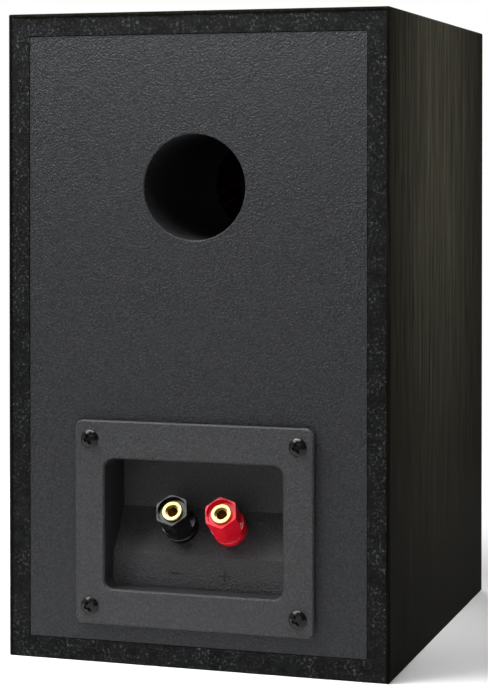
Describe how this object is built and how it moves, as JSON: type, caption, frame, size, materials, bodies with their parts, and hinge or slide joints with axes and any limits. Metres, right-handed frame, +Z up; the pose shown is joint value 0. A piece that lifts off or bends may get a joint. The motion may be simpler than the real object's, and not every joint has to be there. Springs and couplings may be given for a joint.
{
  "type": "bookshelf speaker",
  "caption": "Compact two-way bookshelf speaker: vinyl-wrapped cabinet, rear reflex port, recessed cup with black and red screw-down binding posts, woofer and dome tweeter.",
  "frame": {"origin": "middle of the cabinet's underside", "axes": "+Z up, -Y out of the front baffle, +Y out of the rear panel, +X towards the black binding post"},
  "size_m": [0.147, 0.1736, 0.241],
  "materials": {
    "wall_board": "fibreboard with black-stained edges",
    "vinyl": "black wood-grain vinyl film",
    "baffle_board": "fibreboard faced with black vinyl",
    "rear_board": "fibreboard faced with fine-grained charcoal vinyl",
    "batten_wood": "sawn softwood",
    "port_plastic": "black moulded plastic tube",
    "wadding": "white polyester wadding",
    "socket_rubber": "soft black rubber",
    "clip_plastic": "natural nylon",
    "cup_plastic": "sand-textured charcoal moulding",
    "gasket_foam": "black foam",
    "screw_black": "glossy black zinc",
    "post_black": "glossy black plastic",
    "post_red": "glossy red plastic",
    "post_brass": "bright gold-plated brass",
    "zinc_steel": "zinc-plated steel",
    "tinned_brass": "tinned brass",
    "board_green": "green glass-fibre board",
    "nylon": "white nylon",
    "bobbin_plastic": "black moulded plastic",
    "copper_wire": "enamelled copper wire",
    "capacitor_blue": "blue sleeve",
    "capacitor_amber": "amber film",
    "ceramic": "cement-filled ceramic",
    "wire_red": "red insulation",
    "wire_black": "black insulation",
    "basket_steel": "black powder coat",
    "trim_plastic": "fine-textured black plastic",
    "surround_rubber": "smooth black rubber",
    "cone_paper": "black coated paper pulp",
    "spider_cloth": "resin-stiffened cotton",
    "coil_copper": "copper winding on an aluminium former",
    "motor_steel": "zinc-plated low-carbon steel",
    "ferrite": "sintered ferrite",
    "dome_silk": "coated black silk"
  },
  "bodies": {
    "cabinet": {"left_panel": "wall_board", "right_panel": "wall_board", "top_panel": "wall_board", "bottom_panel": "wall_board", "vinyl_wrap": "vinyl", "front_baffle": "baffle_board", "rear_panel": "rear_board", "front_battens": "batten_wood", "rear_battens": "batten_wood", "port_tube": "port_plastic", "damping_pad": "wadding", "grille_sockets": "socket_rubber", "wire_clips": "clip_plastic", "terminal_cup": "cup_plastic", "terminal_cup_gasket": "gasket_foam", "terminal_cup_screws": "screw_black", "black_post_base": "post_black", "red_post_base": "post_red", "black_post_stud": "post_brass", "red_post_stud": "post_brass", "post_nuts": "zinc_steel", "post_solder_tabs": "tinned_brass", "crossover_board": "board_green", "crossover_standoffs": "nylon", "woofer_inductor_bobbin": "bobbin_plastic", "woofer_inductor_winding": "copper_wire", "tweeter_inductor": "copper_wire", "woofer_capacitor": "capacitor_blue", "tweeter_capacitor": "capacitor_amber", "padding_resistor": "ceramic", "terminal_wires": "wire_red", "woofer_wires": "wire_black", "tweeter_wires": "wire_red", "woofer_basket": "basket_steel", "woofer_gasket": "gasket_foam", "woofer_trim_ring": "trim_plastic", "woofer_surround": "surround_rubber", "woofer_spider": "spider_cloth", "woofer_top_plate": "motor_steel", "woofer_magnet": "ferrite", "woofer_yoke": "motor_steel", "woofer_terminals": "tinned_brass", "woofer_screws": "screw_black", "tweeter_faceplate": "trim_plastic", "tweeter_surround": "surround_rubber", "tweeter_top_plate": "motor_steel", "tweeter_magnet": "ferrite", "tweeter_yoke": "motor_steel", "tweeter_screws": "screw_black"},
    "black_post_washer": {"black_clamp_washer": "post_brass"},
    "black_post_cap": {"black_cap": "post_black", "black_cap_insert": "post_brass"},
    "red_post_washer": {"red_clamp_washer": "post_brass"},
    "red_post_cap": {"red_cap": "post_red", "red_cap_insert": "post_brass"},
    "woofer_cone_assembly": {"woofer_cone": "cone_paper", "woofer_dust_cap": "cone_paper", "woofer_voice_coil": "coil_copper"},
    "tweeter_dome_assembly": {"tweeter_dome": "dome_silk", "tweeter_voice_coil": "coil_copper"}
  },
  "joints": [
    {"name": "black_washer_slide", "type": "slide", "parent": "cabinet", "child": "black_post_washer", "axis": [0, 0.8192, 0.5736], "range_m": [0, 0.006]},
    {"name": "black_cap_screw", "type": "hinge", "parent": "black_post_washer", "child": "black_post_cap", "pos_m": [0.0095, 0.07058, 0.04918], "axis": [0, 0.8192, 0.5736], "range_deg": [0, 2160]},
    {"name": "red_washer_slide", "type": "slide", "parent": "cabinet", "child": "red_post_washer", "axis": [0, 0.8192, 0.5736], "range_m": [0, 0.006]},
    {"name": "red_cap_screw", "type": "hinge", "parent": "red_post_washer", "child": "red_post_cap", "pos_m": [-0.0095, 0.07058, 0.04918], "axis": [0, 0.8192, 0.5736], "range_deg": [0, 2160]},
    {"name": "woofer_travel", "type": "slide", "parent": "cabinet", "child": "woofer_cone_assembly", "axis": [0, -1, 0], "range_m": [-0.003, 0.003], "stiffness_N_per_m": 800, "deforming": ["woofer_surround", "woofer_spider"]},
    {"name": "tweeter_travel", "type": "slide", "parent": "cabinet", "child": "tweeter_dome_assembly", "axis": [0, -1, 0], "range_m": [-0.0003, 0.0003], "stiffness_N_per_m": 2000, "deforming": ["tweeter_surround"]}
  ],
  "couplings": [
    {"joint": "black_cap_screw", "follows": "black_washer_slide", "rad_per_m": 6283.1},
    {"joint": "red_cap_screw", "follows": "red_washer_slide", "rad_per_m": 6283.1}
  ]
}
